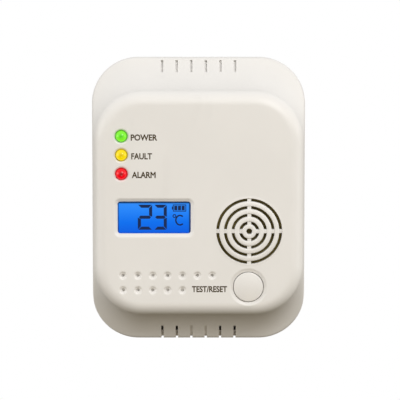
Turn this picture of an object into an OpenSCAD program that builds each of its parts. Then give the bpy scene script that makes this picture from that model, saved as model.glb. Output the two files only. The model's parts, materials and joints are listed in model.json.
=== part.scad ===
// Carbon monoxide detector for a wall: hanging bracket, two-part housing, display, sounder,
// gas sensor, test button and battery bay. Millimetres. x runs to the right, z up, y into the wall.
// The origin lies on the wall, midway between the two screws of the bracket.

// Which piece is drawn; "all" draws the whole detector

/* [Housing] */
// Width of the housing
body_w = 92; // [91.6:0.2:93]
// Height of the housing
body_h = 122; // [121:0.5:124]
// Distance from the wall to the front face
body_d = 38; // [38:0.1:38.6]
// Thickness of the front cover
wall = 2.2; // [2:0.1:2.4]
// Corner radius of the base outline
base_r = 20; // [19:0.5:21]
// Height of the raised front
dome_h = 95; // [94:0.5:96]
// Radius of the rounded edge round the raised front
dome_fillet = 6; // [5:0.5:6.5]

/* [Grille] */
// Width of one ring-shaped sound slot
slot_w = 1.2; // [1:0.1:1.3]
// Distance from one ring-shaped slot to the next
slot_pitch = 3.2; // [3:0.1:3.2]
// Width of the bars that cross the grille
bar_w = 1.66; // [1.4:0.02:2]
// How far the grille bulges out of the front
grille_crown = 1.2; // [0.8:0.1:1.2]

/* [Display] */
// Width of the display opening
lcd_w = 30.7; // [29:0.1:32]
// Height of the display opening
lcd_h = 13.5; // [12.5:0.1:14]

/* [Button] */
// Radius of the test button
button_r = 6.2; // [5.9:0.05:6.25]
// Travel of the test button
button_travel = 0.6; // [0.3:0.1:0.8]

/* [Vents] */
// Width of one vent slot
vent_w = 1; // [0.8:0.1:1.2]
// Distance between neighbouring vent slots
vent_pitch = 6.25; // [5.5:0.05:6.5]
// Depth of the vents that do not go through
groove_depth = 1.1; // [0.8:0.1:1.3]

/* [Mounting] */
// Distance between the two wall screws
screw_span = 44; // [40:1:46]
// Radius of the wall screw holes
screw_r = 2.2; // [2:0.1:2.4]
// How far the detector lifts before it leaves the hooks
lift = 5; // [4.5:0.1:5]

/* [Hidden] */
$fn = 48;
eps = 0.01;

// heights above the middle of the housing, and depths measured out from the wall
mount_up = 29;
case_back = 1;
case_floor = 3;
split = 8;
lip_top = 10.5;
bay_floor = 18;
board_back = 21.2;
board_front = 22.8;
front_in = body_d - wall;

// raised front and the hollow shoulder above and below it
draft = 0.068;
dome_r = 21;
crease = 30.5;
dome_w = body_w - 2 * draft * (crease - split) - 0.4;
cove_r = 27;
cove_out = 26.5;
cove_up = 35.66;
cove_reach = 16;

// front features, as [across, up] from the middle of the housing
leds = [[-32.3, 28.5], [-32.3, 20.6], [-32.3, 12.7]];
lcd_at = [-18.6, -5.7];
lcd_corner = 1.2;
lcd_bevel = 1.35;
bevel_depth = 0.8;
grille_at = [21.3, -11.4];
grille_r = 14.8;
slot_inner = [for (i = [0 : 3]) 3 + i * slot_pitch];
bar_drop = 0.5;
button_at = [21, -35];
dimple_rows = [[-30.1, 7], [-36.3, 5]];
dimple_x = -31.7;
dimple_pitch = 6.25;
vents = [-2.5, -1.5, -0.5, 0.5, 1.5, 2.5];
vent_in = 54.7;
vent_out = 59.6;

// fixings
pillars = [[35.5, 39], [-35.5, 39], [35.5, -39], [-35.5, -39]];
posts = [[38.5, 18], [-38.5, 18], [38.5, -22], [-38.5, -22]];
thread_r = 1.25;

// bracket, its hooks [across, top of the neck] and the space the case leaves for it
bracket_w = 60;
bracket_h = 42;
bracket_t = 2;
hooks = [[20, 43], [-20, 43], [20, 18], [-20, 18]];
hook_w = 6;
neck_h = 3;
lip_h = 3;
hook_top = 9;
recess_floor = 5;
recess_in = 7;

// cells lie across the bay: [middle of the cell, direction of its positive end]
cell_r = 7.25;
cell_len = 50.5;
cell_depth = 10.55;
nub = 1;
nub_r = 2.75;
cells = [[-40.2, -1], [-25.4, 1], [-10.6, -1]];
bay_w = 56.4;
bay_low = -47.8;
bay_high = -2.9;
bay_skin = 1.6;
plate_t = 0.4;
tab_depth = 14.2;
tab_end = 31.5;

// battery door and its hinge line
door_w = 58.6;
door_low = -49.2;
door_high = -1.8;
door_gap = 0.3;
hinge_up = -51;
hinge_depth = 2;
arm_x = 16;
arm_w = 4;
pin_r = 0.8;

// light-emitting diodes
led_r = 2.5;
led_flange = 30.6;
led_top = 39.2;
lead_w = 0.5;
lead_gap = 1.27;

// display stack
glass = [37, 19.5];
glass_back = 33;
glass_front = front_in - 0.2;
light_back = 29.5;
zebra_up = -8.3;

// sounder stack
cup_r = 15;
cup_top = 33.6;
ledge = 28;
screen_t = 0.4;

// gas sensor
sensor_at = [20, 27];
sensor_r = 9.5;

// test button and its switch
button_rim = 37.9;
button_crown = 0.8;
button_gap = 0.25;
flange_r = 7.3;
flange_low = 34.4;
guide_in = 7.4;
guide_out = 8.2;
plunger_top = 27.6;
plunger_r = 1.75;
switch_top = 26.2;

// ---- helpers: inside upright() x is across, y is up and z is the distance out from the wall

// Stands a piece drawn flat against the wall, with the bracket's middle at the origin
module upright() {
    rotate([90, 0, 0]) translate([0, -mount_up, 0]) children();
}

module at(places) {
    for (p = places) translate([p[0], p[1], 0]) children();
}

module rod(r, z0, z1) {
    translate([0, 0, z0]) cylinder(r = r, h = z1 - z0);
}

module cone(r0, r1, z0, z1) {
    translate([0, 0, z0]) cylinder(r1 = r0, r2 = r1, h = z1 - z0);
}

module tube(r_out, r_in, z0, z1) {
    difference() {
        rod(r_out, z0, z1);
        rod(r_in, z0 - eps, z1 + eps);
    }
}

// Box centred across and up, between two depths
module bar(w, h, z0, z1) {
    translate([-w / 2, -h / 2, z0]) cube([w, h, z1 - z0]);
}

// Box between two heights and two depths, centred across
module band(w, low, high, z0, z1) {
    translate([-w / 2, low, z0]) cube([w, high - low, z1 - z0]);
}

// Carries a profile, drawn as [outward, depth], round the outside of a rounded rectangle
module carry(w, h, r) {
    ax = w / 2 - r;
    ay = h / 2 - r;
    corners = [[ax, ay, 0], [-ax, ay, 90], [-ax, -ay, 180], [ax, -ay, 270]];
    for (c = corners)
        translate([c[0], c[1], 0]) rotate([0, 0, c[2]]) rotate_extrude(angle = 90) children();
    for (s = [0, 180]) rotate([0, 0, s]) {
        translate([ax, ay, 0]) rotate([90, 0, 0]) linear_extrude(2 * ay) children();
        translate([-ax, ay, 0]) rotate([90, 0, 90]) linear_extrude(2 * ax) children();
    }
}

// Rounded rectangular block between two depths
module slab(w, h, r, z0, z1) {
    carry(w, h, r) translate([0, z0]) square([r, z1 - z0]);
    bar(w - 2 * r, h - 2 * r, z0, z1);
}

// Rounded rectangular ring of the given thickness, inside the outline
module rim(w, h, r, t, z0, z1) {
    carry(w, h, r) translate([r - t, z0]) square([t, z1 - z0]);
}

// Wire of radius r along a list of points
function unit(v) = v / norm(v);
function tangent(p, i) = unit(p[min(i + 1, len(p) - 1)] - p[max(i - 1, 0)]);
function ring(p, i, r, n, side) = let (
    t = tangent(p, i),
    u = unit(cross(t, side)),
    v = cross(t, u)
) [for (k = [0 : n - 1]) p[i] + r * (cos(360 * k / n) * u + sin(360 * k / n) * v)];

module wire(p, r, n, side) {
    last = len(p) - 1;
    points = [for (i = [0 : last]) each ring(p, i, r, n, side)];
    walls = [for (i = [0 : last - 1], k = [0 : n - 1]) let (a = i * n + k, b = i * n + (k + 1) % n)
        each [[a, b, b + n], [a, b + n, a + n]]];
    start = [[for (k = [n - 1 : -1 : 0]) k]];
    end = [[for (k = [0 : n - 1]) last * n + k]];
    polyhedron(points = points, faces = concat(walls, start, end), convexity = 10);
}

// Smooth curve between two points, leaving along d0 and arriving along d1
function curve(p0, d0, p1, d1, n) = [for (i = [0 : n]) let (t = i / n)
    pow(1 - t, 3) * p0 + 3 * pow(1 - t, 2) * t * (p0 + d0)
    + 3 * (1 - t) * t * t * (p1 - d1) + t * t * t * p1];

// ---- housing

// Half section of the raised front and the hollow shoulder, drawn in by inset
module cover_section(inset, z0) {
    r = dome_r - inset;
    f = dome_fillet - inset;
    top = body_d - inset;
    translate([0, z0]) square([r - f, top - z0]);
    translate([0, z0]) square([r, top - f - z0]);
    translate([r - f, top - f]) intersection() {
        circle(f);
        square(f);
    }
    difference() {
        translate([0, z0]) square([dome_r + cove_reach, crease - z0]);
        translate([dome_r + cove_out, cove_up]) circle(cove_r + inset, $fn = 96);
    }
}

// Base outline drawn in by inset, with sides that lean in towards the front
module leaning_block(inset, z0, z1) {
    r = base_r - inset;
    section = [
        [0, z0], [r + (split - z0) * draft, z0],
        [r + (split - z1) * draft, z1], [0, z1]
    ];
    carry(body_w - 2 * inset, body_h - 2 * inset, r) polygon(section);
    bar(body_w - 2 * base_r, body_h - 2 * base_r, z0, z1);
}

module cover_body(inset, z0) {
    intersection() {
        union() {
            carry(dome_w, dome_h, dome_r) cover_section(inset, z0);
            bar(dome_w - 2 * dome_r, dome_h - 2 * dome_r, z0, body_d - inset);
        }
        leaning_block(inset, z0, body_d + 1);
    }
}

// Low dome that carries the sound slots, or the dome the bars across them follow
module grille_dome(drop) {
    sphere_r = (grille_r * grille_r + grille_crown * grille_crown) / (2 * grille_crown);
    intersection() {
        rod(grille_r, front_in, body_d + 2);
        translate([0, 0, body_d + grille_crown - drop - sphere_r]) sphere(sphere_r, $fn = 96);
    }
}

module sound_slots() {
    difference() {
        for (r = slot_inner) tube(r + slot_w, r, front_in - 1, body_d + 2);
        intersection() {
            union() {
                bar(3 * cup_r, bar_w, front_in - 2, body_d + 3);
                bar(bar_w, 3 * cup_r, front_in - 2, body_d + 3);
            }
            union() {
                grille_dome(bar_drop);
                rod(grille_r + 1, front_in - 2, body_d - bar_drop / 2);
            }
        }
    }
    rod(slot_w, front_in - 1, body_d + 2);
}

module dimple() {
    cone(0.6, 2.1, body_d - 0.5, body_d + eps);
    cone(0.5, 0.6, body_d - 1, body_d - 0.5 + eps);
}

module led_hole() {
    rod(led_r + 0.15, front_in - 1, body_d + 1);
    cone(led_r + 0.15, led_r + 0.7, body_d - 0.5, body_d + eps);
}

module lcd_hole() {
    slab(lcd_w, lcd_h, lcd_corner, front_in - 1, body_d + 1);
    section = [
        [0, body_d - bevel_depth], [lcd_corner, body_d - bevel_depth],
        [lcd_corner + lcd_bevel, body_d + eps], [0, body_d + eps]
    ];
    carry(lcd_w, lcd_h, lcd_corner) polygon(section);
}

module button_hole() {
    rod(button_r + button_gap, front_in - 1, body_d + 1);
    cone(button_r + button_gap, button_r + button_gap + 1.5, body_d - 0.6, body_d + eps);
}

module vent(v, low, high, z0) {
    translate([v * vent_pitch, 0, 0]) band(vent_w, low, high, z0, crease);
}

// Blind grooves in the upper shoulder, and slots through the lower one that run out at the split;
// the middle two of those are blind too
module vent_slots() {
    for (v = vents) if (abs(v) > 1) vent(v, -body_h, -vent_in, split - 1);
    difference() {
        for (v = vents) {
            vent(v, vent_in, vent_out, lip_top);
            if (abs(v) < 1) vent(v, -body_h, -vent_in, split - 1);
        }
        cover_body(groove_depth, split - 2);
    }
}

module front_cover() {
    color([0.93, 0.91, 0.86]) upright() difference() {
        union() {
            difference() {
                cover_body(0, split);
                cover_body(wall, split - 1);
            }
            at(pillars) rod(3.4, 10, crease);
            at([button_at]) tube(guide_out, guide_in, 31, front_in + eps);
            at([grille_at]) grille_dome(0);
        }
        at(pillars) rod(thread_r, 9, 24);
        at(leds) led_hole();
        at([lcd_at]) lcd_hole();
        at([grille_at]) sound_slots();
        at([button_at]) button_hole();
        for (row = dimple_rows, i = [0 : row[1] - 1])
            at([[dimple_x + i * dimple_pitch, row[0]]]) dimple();
        vent_slots();
    }
}

module hook_slots() {
    slack = 0.3;
    for (h = hooks) translate([h[0], 0, 0])
        band(hook_w + 2 * slack, h[1] - neck_h - lift - slack, h[1] + 0.05, recess_floor - 1, recess_in + 1);
}

module recess(grow, z0, z1) {
    low = mount_up - bracket_h / 2 - lift - 1 - grow;
    high = mount_up + bracket_h / 2 + 1.5 + grow;
    band(bracket_w + 3 + 2 * grow, low, high, z0, z1);
}

module bay(grow, z0, z1) {
    band(bay_w + 2 * grow, bay_low - grow, bay_high + grow, z0, z1);
}

module tab_slots() {
    slack = 0.2;
    for (t = [[-1, -36.5], [1, -10.6]])
        translate([t[0] * (bay_w / 2 + bay_skin / 2), t[1], tab_depth - slack])
            bar(2 * bay_skin, 3 + 2 * slack, -plate_t / 2, plate_t / 2 + 2 * slack);
}

module hinge_bores() {
    for (s = [-1, 1]) {
        translate([s * (arm_x + arm_w / 2), 0, 0])
            band(arm_w + 2 * door_gap, hinge_up - 1.7, door_low, case_back - 1, case_floor + 2);
        translate([s * (arm_x + arm_w + 1.3), hinge_up, hinge_depth]) rotate([0, 90, 0])
            cylinder(r = pin_r + 0.06, h = 2.8, center = true);
    }
}

module rear_case() {
    skirt = 0.5;
    skirt_in = 3.55;
    lip_out = wall + 0.35;
    color([0.9, 0.88, 0.83]) upright() difference() {
        union() {
            difference() {
                slab(body_w - 2 * skirt, body_h - 2 * skirt, base_r - skirt, case_back, split);
                slab(body_w - 2 * skirt_in, body_h - 2 * skirt_in, base_r - skirt_in, case_floor, split + 1);
            }
            rim(body_w - 2 * lip_out, body_h - 2 * lip_out, base_r - lip_out, skirt_in - lip_out,
                split - 1, lip_top);
            recess(1.8, case_back + eps, recess_in);
            bay(bay_skin, case_back + eps, bay_floor + bay_skin);
            at(pillars) rod(4.2, case_floor - 1, 9.9);
            at(posts) rod(3, case_floor - 1, board_back);
            for (s = [-1, 1]) translate([s * (arm_x + arm_w + 2), 0, 0])
                band(3.6, hinge_up - 1.8, hinge_up + 1.4, case_floor - 1, case_floor + 1.2);
        }
        recess(0, 0, recess_floor);
        bay(0, 0, bay_floor);
        band(door_w + 2 * door_gap, door_low - door_gap, door_high + door_gap, 0, case_floor);
        hook_slots();
        hinge_bores();
        tab_slots();
        at(pillars) {
            rod(thread_r + 0.3, 0, 11);
            rod(3.1, 0, 4.5);
        }
        at(posts) rod(1.1, 11, board_back + 1);
    }
    color([0.9, 0.88, 0.83]) upright() for (up = [-32.8, -18])
        translate([0, up, 0]) bar(40, 1.2, bay_floor - 3, bay_floor + eps);
}

module battery_door() {
    color([0.9, 0.88, 0.83]) upright() {
        difference() {
            translate([0, (door_low + door_high) / 2, 0])
                slab(door_w, door_high - door_low, 1.5, case_back, case_floor - 0.05);
            translate([0, door_high - 6, case_back]) scale([1, 0.45, 0.12]) sphere(9);
        }
        for (s = [-1, 1]) translate([s * (arm_x + arm_w / 2), hinge_up, 0]) {
            translate([0, 0, hinge_depth]) rotate([0, 90, 0])
                cylinder(r = 1, h = arm_w, center = true);
            band(arm_w, 0, door_low - hinge_up + 1, case_back, case_floor - 0.05);
            translate([s * 2, 0, hinge_depth]) rotate([0, 90, 0])
                cylinder(r = pin_r, h = 4.4, center = true);
        }
    }
}

module rating_label() {
    color([0.86, 0.86, 0.84]) upright()
        translate([0, -29, 0]) slab(48, 26, 1.5, case_back - 0.15, case_back);
}

// ---- wall bracket

module hook() {
    band(hook_w, -neck_h, 0, bracket_t - eps, hook_top);
    band(hook_w, -neck_h, lip_h, recess_in + 0.2, hook_top);
}

module wall_bracket() {
    color([0.88, 0.86, 0.81]) upright() difference() {
        union() {
            translate([0, mount_up, 0]) {
                slab(bracket_w, bracket_h, 4, 0, bracket_t);
                rim(bracket_w, bracket_h, 4, 1.5, bracket_t - eps, 3.4);
                for (s = [-1, 1]) translate([s * screw_span / 2, 0, 0]) rod(5.5, 0, 2.6);
            }
            at(hooks) hook();
        }
        translate([0, mount_up, 0]) {
            for (s = [-1, 1]) translate([s * screw_span / 2, 0, 0]) {
                rod(screw_r, -1, 4);
                cone(screw_r, 4.2, 1.2, 2.6 + eps);
            }
            for (s = [-1, 1]) translate([0, 11 * s, 0]) slab(26, 7, 3, -1, bracket_t + 1);
        }
    }
}

// ---- test button and switch

module test_button() {
    crown_r = (pow(button_r, 2) + pow(button_crown, 2)) / (2 * button_crown);
    color([0.93, 0.91, 0.86]) upright() at([button_at]) {
        difference() {
            union() {
                intersection() {
                    rod(button_r, flange_low, button_rim + button_crown);
                    translate([0, 0, button_rim + button_crown - crown_r]) sphere(crown_r, $fn = 96);
                }
                rod(flange_r, flange_low, front_in - 0.1);
            }
            rod(button_r - 1.2, flange_low - 1, button_rim - 1.2);
        }
        rod(1.6, plunger_top, button_rim - 1);
        for (a = [0, 90]) rotate(a) bar(2 * button_r - 2, 1, flange_low + 0.4, button_rim - 1);
    }
}

module switch_body() {
    color([0.16, 0.16, 0.17]) upright() at([button_at]) difference() {
        union() {
            bar(6, 6, board_front, switch_top - 0.3);
            rod(2.6, switch_top - 0.4, switch_top);
        }
        rod(plunger_r + 0.05, plunger_top - 3.2, switch_top + 1);
    }
}

module switch_plunger() {
    color([0.35, 0.2, 0.12]) upright() at([button_at]) rod(plunger_r, plunger_top - 2.4, plunger_top);
}

// ---- indicator lights

module lead_pair(z0, z1) {
    for (s = [-1, 1]) translate([s * lead_gap, 0, 0]) bar(lead_w, lead_w, z0, z1);
}

module led(i) {
    upright() at([leds[i]]) difference() {
        union() {
            rod(led_r + 0.4, led_flange, led_flange + 1);
            rod(led_r, led_flange, led_top - led_r);
            intersection() {
                translate([0, 0, led_top - led_r]) sphere(led_r);
                rod(led_r + 1, led_top - led_r, led_top + 1);
            }
        }
        lead_pair(led_flange - 1, led_flange + 2.4);
    }
}

module led_green() {
    color([0.35, 0.85, 0.25]) led(0);
}

module led_yellow() {
    color([0.98, 0.75, 0.12]) led(1);
}

module led_red() {
    color([0.9, 0.1, 0.1]) led(2);
}

module led_leads() {
    color([0.75, 0.75, 0.76]) upright() at(leds) lead_pair(board_back - 1.2, led_flange + 2.4);
}

module led_spacers() {
    color([0.94, 0.94, 0.9]) upright() at(leds) difference() {
        rod(led_r, board_front, led_flange);
        bar(2 * lead_gap + 1, 1, board_front - 1, led_flange + 1);
    }
}

// ---- display

module lcd_glass() {
    color([0.1, 0.45, 0.95]) upright() at([lcd_at]) bar(glass[0], glass[1], glass_back, glass_front);
}

module lcd_backlight() {
    color([0.85, 0.92, 1]) upright() at([lcd_at]) translate([0, 1.7, 0])
        bar(glass[0] - 0.4, glass[1] - 3.9, light_back, glass_back);
}

module lcd_holder() {
    color([0.93, 0.93, 0.92]) upright() at([lcd_at]) difference() {
        bar(glass[0] + 2.6, glass[1] + 2.6, board_front, 34.4);
        bar(glass[0] + 0.2, glass[1] + 0.2, light_back, 35);
        bar(glass[0] - 3, glass[1] - 2, board_front - 1, light_back - 1.6);
        translate([0, zebra_up, 0]) bar(34.4, 2.4, board_front - 1, 35);
    }
}

module zebra_strip() {
    color([0.25, 0.25, 0.27]) upright() at([lcd_at]) translate([0, zebra_up, 0])
        bar(34, 2, board_front, glass_back);
}

// ---- sounder

module sounder_cup() {
    color([0.12, 0.12, 0.12]) upright() at([grille_at]) difference() {
        rod(cup_r, board_front, cup_top);
        rod(cup_r - 2.6, board_front + 1.2, ledge + 1);
        rod(cup_r - 1.2, ledge, cup_top + 1);
        for (s = [-1, 1]) translate([s * 5, 0, 0]) rod(0.5, board_front - 1, board_front + 2);
    }
}

module resonator_cap() {
    color([0.14, 0.14, 0.14]) upright() at([grille_at]) tube(cup_r - 1.25, 4, cup_top - 1.8, cup_top);
}

module piezo_disc() {
    color([0.85, 0.68, 0.3]) upright() at([grille_at]) rod(cup_r - 1.4, ledge, ledge + 0.3);
}

module piezo_ceramic() {
    color([0.85, 0.84, 0.8]) upright() at([grille_at]) rod(9.5, ledge + 0.3, ledge + 0.55);
}

module sounder_pins() {
    color([0.8, 0.7, 0.4]) upright() at([grille_at])
        for (s = [-1, 1]) translate([s * 5, 0, 0]) rod(0.45, board_front, ledge);
}

module sounder_gasket() {
    color([0.1, 0.1, 0.1]) upright() at([grille_at])
        tube(cup_r, cup_r - 1.5, cup_top, front_in - screen_t);
}

module dust_screen() {
    color([0.13, 0.12, 0.09]) upright() at([grille_at]) rod(cup_r, front_in - screen_t, front_in);
}

// ---- gas sensor

module sensor_body() {
    color([0.2, 0.2, 0.22]) upright() at([sensor_at]) {
        rod(sensor_r, board_front + 0.6, 29);
        rod(sensor_r - 1, 28.9, 30.6);
    }
}

module sensor_cap() {
    color([0.78, 0.78, 0.8]) upright() at([sensor_at]) difference() {
        rod(sensor_r, 29, 32);
        rod(sensor_r - 1, 28, 30.6);
        for (a = [0 : 60 : 300]) rotate(a) translate([3.2, 0, 0]) rod(0.7, 30, 33);
        rod(0.7, 30, 33);
    }
}

module sensor_pins() {
    color([0.8, 0.75, 0.5]) upright() at([sensor_at])
        for (a = [90, 210, 330]) rotate(a) translate([6, 0, 0]) rod(0.5, board_front, board_front + 0.6);
}

// ---- circuit board and what stands on it

module main_pcb() {
    color([0.07, 0.36, 0.2]) upright() difference() {
        bar(82, 86, board_back, board_front);
        for (p = pillars) translate([p[0] + 4 * sign(p[0]), p[1] + 4 * sign(p[1]), 0])
            bar(16, 16, board_back - 1, board_front + 1);
        at(posts) rod(1.4, board_back - 1, board_front + 1);
        at(leds) for (s = [-1, 1]) translate([s * lead_gap, 0, 0])
            rod(0.45, board_back - 1, board_front + 1);
    }
}

chip_at = [-8, 31];
chip_w = 10;

module microcontroller() {
    color([0.1, 0.1, 0.11]) upright() at([chip_at]) difference() {
        bar(chip_w, chip_w, board_front + 0.1, board_front + 1.5);
        translate([1.2 - chip_w / 2, chip_w / 2 - 1.2, 0]) rod(0.5, board_front + 1.3, board_front + 2);
    }
}

module chip_leads() {
    color([0.75, 0.75, 0.76]) upright() at([chip_at])
        for (a = [0 : 90 : 270], i = [-5 : 5]) rotate(a) translate([chip_w / 2 + 0.5, 0.8 * i, 0]) {
            bar(1, 0.35, board_front, board_front + 0.15);
            translate([-0.4, 0, 0]) bar(0.2, 0.35, board_front, board_front + 0.8);
        }
}

module inductor_core() {
    color([0.2, 0.2, 0.2]) upright() at([[-8, 14]]) {
        rod(4.2, board_front, board_front + 1);
        rod(2.2, board_front, board_front + 8);
        rod(4.2, board_front + 7, board_front + 8);
    }
}

module inductor_winding() {
    color([0.72, 0.38, 0.16]) upright() at([[-8, 14]]) tube(3.7, 2.2, board_front + 1, board_front + 7);
}

module capacitors() {
    color([0.12, 0.16, 0.3]) upright() at([[-20, 34], [4, 37]]) difference() {
        rod(3.15, board_front, board_front + 10.5);
        translate([0, 0, board_front + 10.5]) for (a = [0, 90]) rotate(a) bar(4, 0.3, -0.2, 1);
        translate([0, 0, board_front + 1.6]) rotate_extrude() translate([3.35, 0]) circle(0.4);
    }
}

module crystal() {
    color([0.8, 0.8, 0.81]) upright() at([[-22, 20]]) {
        slab(11, 4.6, 2.2, board_front, board_front + 0.5);
        slab(10.2, 3.8, 1.85, board_front + 0.5, board_front + 3.5);
    }
}

module chip_resistors() {
    color([0.13, 0.13, 0.14]) upright() {
        for (i = [0 : 6], up = [-23, -29, -35]) translate([-28 + 5 * i, up, 0])
            bar(2, 1.25, board_front, board_front + 0.55);
        for (i = [0 : 3]) translate([-20 + 4.5 * i, 24.2 - 1.2 * i % 2, 0])
            bar(1.25, 2, board_front, board_front + 0.55);
    }
}

// ---- battery bay

module battery_cells() {
    color([0.15, 0.16, 0.2]) upright() for (c = cells)
        translate([c[1] * (bay_w / 2 - plate_t - nub), c[0], cell_depth]) rotate([0, -90 * c[1], 0])
            cylinder(r = cell_r, h = cell_len - nub);
}

module cell_nubs() {
    color([0.8, 0.8, 0.8]) upright() for (c = cells)
        translate([c[1] * (bay_w / 2 - plate_t), c[0], cell_depth]) rotate([0, -90 * c[1], 0])
            cylinder(r = nub_r, h = nub);
}

// Conical coil from the contact plate to the flat end of a cell
module battery_springs() {
    turns = 3;
    steps = 54;
    coil_r = 0.35;
    seat = bay_w / 2 - plate_t - coil_r;
    reach = bay_w - 2 * plate_t - cell_len - 2 * coil_r;
    color([0.78, 0.78, 0.79]) upright() for (c = cells) {
        coil = [for (i = [0 : steps]) let (t = i / steps, a = 360 * turns * t, r = 4.8 - 2.1 * t)
            [-c[1] * (seat - reach * t), c[0] + r * cos(a), cell_depth + r * sin(a)]];
        wire(coil, coil_r, 8, [1, 0, 0]);
    }
}

module plate(side, low, high) {
    translate([side * (bay_w / 2 - plate_t / 2), 0, cell_depth])
        band(plate_t, low + 0.6, high - 0.6, -5, 5);
}

module contact_plates() {
    half = 7.4;
    color([0.75, 0.75, 0.76]) upright() {
        plate(-1, cells[0][0] - half + 1, cells[0][0] + half);
        plate(-1, cells[1][0] - half, cells[2][0] + half);
        plate(1, cells[0][0] - half, cells[1][0] + half);
        plate(1, cells[2][0] - half, cells[2][0] + half);
        for (t = [[-1, -36.5], [1, -10.6]])
            translate([t[0] * (bay_w / 2 - plate_t / 2 + tab_end) / 2, t[1], tab_depth])
                bar(tab_end - bay_w / 2 + plate_t / 2, 3, -plate_t / 2, plate_t / 2);
    }
}

module battery_lead(side, up, board_x, board_up) {
    wire(curve([side * tab_end, up, tab_depth], [side * 3, 0, 0],
        [side * board_x, board_up, board_back - 0.02], [0, 0, 5], 16), 0.6, 12, [0, 1, 0]);
}

module lead_positive() {
    color([0.75, 0.08, 0.06]) upright() battery_lead(-1, -36.5, 35.2, -30);
}

module lead_negative() {
    color([0.08, 0.08, 0.08]) upright() battery_lead(1, -10.6, 36, -8);
}

// ---- screws

module driver_cross(z0, z1) {
    for (a = [0, 90]) rotate(a) bar(3, 0.7, z0, z1);
}

module case_screws() {
    color([0.7, 0.7, 0.71]) upright() at(pillars) difference() {
        union() {
            rod(2.8, 2.5, 4.5);
            rod(thread_r, 4.4, 22);
        }
        driver_cross(2, 3.6);
    }
}

module board_screws() {
    color([0.7, 0.7, 0.71]) upright() at(posts) difference() {
        union() {
            rod(2.4, board_front, board_front + 1.6);
            rod(1.1, 12, board_front + 0.1);
        }
        driver_cross(board_front + 0.8, board_front + 2);
    }
}

wall_bracket();
rear_case();
battery_door();
rating_label();
front_cover();
test_button();
switch_body();
switch_plunger();
led_green();
led_yellow();
led_red();
led_leads();
led_spacers();
lcd_glass();
lcd_backlight();
lcd_holder();
zebra_strip();
main_pcb();
sounder_cup();
resonator_cap();
piezo_disc();
piezo_ceramic();
sounder_pins();
sounder_gasket();
dust_screen();
sensor_body();
sensor_cap();
sensor_pins();
microcontroller();
chip_leads();
inductor_core();
inductor_winding();
capacitors();
crystal();
chip_resistors();
battery_cells();
cell_nubs();
battery_springs();
contact_plates();
lead_positive();
lead_negative();
case_screws();
board_screws();
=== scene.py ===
import json
import math

import bmesh
import bpy
import numpy as np
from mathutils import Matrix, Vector
from mathutils.geometry import delaunay_2d_cdt


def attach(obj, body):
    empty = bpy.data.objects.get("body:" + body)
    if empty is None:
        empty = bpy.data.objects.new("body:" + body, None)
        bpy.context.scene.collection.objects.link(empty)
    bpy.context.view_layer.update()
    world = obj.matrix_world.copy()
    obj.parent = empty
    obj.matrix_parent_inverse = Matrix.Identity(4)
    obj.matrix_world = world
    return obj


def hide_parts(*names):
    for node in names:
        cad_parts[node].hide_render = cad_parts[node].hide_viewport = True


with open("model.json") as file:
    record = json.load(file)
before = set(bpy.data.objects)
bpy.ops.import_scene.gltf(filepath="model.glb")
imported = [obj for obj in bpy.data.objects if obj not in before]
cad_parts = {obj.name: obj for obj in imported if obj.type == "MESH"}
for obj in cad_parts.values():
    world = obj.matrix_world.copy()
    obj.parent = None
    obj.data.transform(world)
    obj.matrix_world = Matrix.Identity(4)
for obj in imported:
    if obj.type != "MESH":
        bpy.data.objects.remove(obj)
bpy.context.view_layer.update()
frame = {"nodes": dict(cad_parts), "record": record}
print("frame loaded with", len(frame["nodes"]), "nodes")

# Places are worked out on the panel, in mm: across, up from the middle of the housing, and depth out from the wall.
mountUp = 29.0  # height of the frame's origin above the middle of the housing


def toRow(across, up, depth):
    # Panel place in mm to the frame in metres: x is across, y is minus the depth, z is the height above the origin
    across, up, depth = np.broadcast_arrays(across, up, depth)
    return np.stack([across, -depth, up - mountUp], axis=-1) * 0.001


class Surface:
    # Grids of points and the faces between them, gathered into one mesh

    def __init__(self):
        self.places, self.faces, self.size = [], [], 0

    def grid(self, across, up, depth):
        # Adds a grid of points and gives back their numbers in the same layout
        across, up, depth = np.broadcast_arrays(across, up, depth)
        index = self.size + np.arange(across.size).reshape(across.shape)
        self.places.append(toRow(across, up, depth).reshape(-1, 3))
        self.size += across.size
        return index

    def skin(self, index, keep=None):
        # Four-sided faces between neighbouring rows; the last column joins the first
        quads = np.stack([index[:-1], np.roll(index[:-1], -1, 1), np.roll(index[1:], -1, 1), index[1:]], -1)
        self.faces.extend((quads if keep is None else quads[keep]).reshape(-1, 4).tolist())

    def fill(self, *loops, free=()):
        # Face between closed loops, through free points: triangles that keep the loops as edges, kept where an odd number
        # of loops is round them
        index = np.concatenate([*loops, np.asarray(free, int)])
        flat = np.concatenate(self.places)[index][:, [0, 2]] * 1000
        ends = np.cumsum([len(loop) for loop in loops])
        after = np.arange(ends[-1]) + 1
        after[ends - 1] = ends - [len(loop) for loop in loops]
        edges = np.stack([np.arange(ends[-1]), after], 1)
        made = delaunay_2d_cdt(list(map(Vector, flat.tolist())), edges.tolist(), [], 0, 1e-7)
        source = np.array([origin[0] for origin in made[3]])
        triangles = source[np.array(made[2])]
        middle = flat[triangles].mean(1)
        a, b = flat[edges[:, 0]], flat[edges[:, 1]]
        height = middle[:, None, 1]
        spans = (a[:, 1] > height) != (b[:, 1] > height)
        rise = np.where(b[:, 1] == a[:, 1], 1.0, b[:, 1] - a[:, 1])
        crossing = a[:, 0] + (height - a[:, 1]) * (b[:, 0] - a[:, 0]) / rise
        inside = (spans & (middle[:, None, 0] < crossing)).sum(1) % 2 == 1
        self.faces.extend(index[triangles[inside]].tolist())

    def cap(self, loop):
        self.faces.append([int(i) for i in loop])


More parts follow.
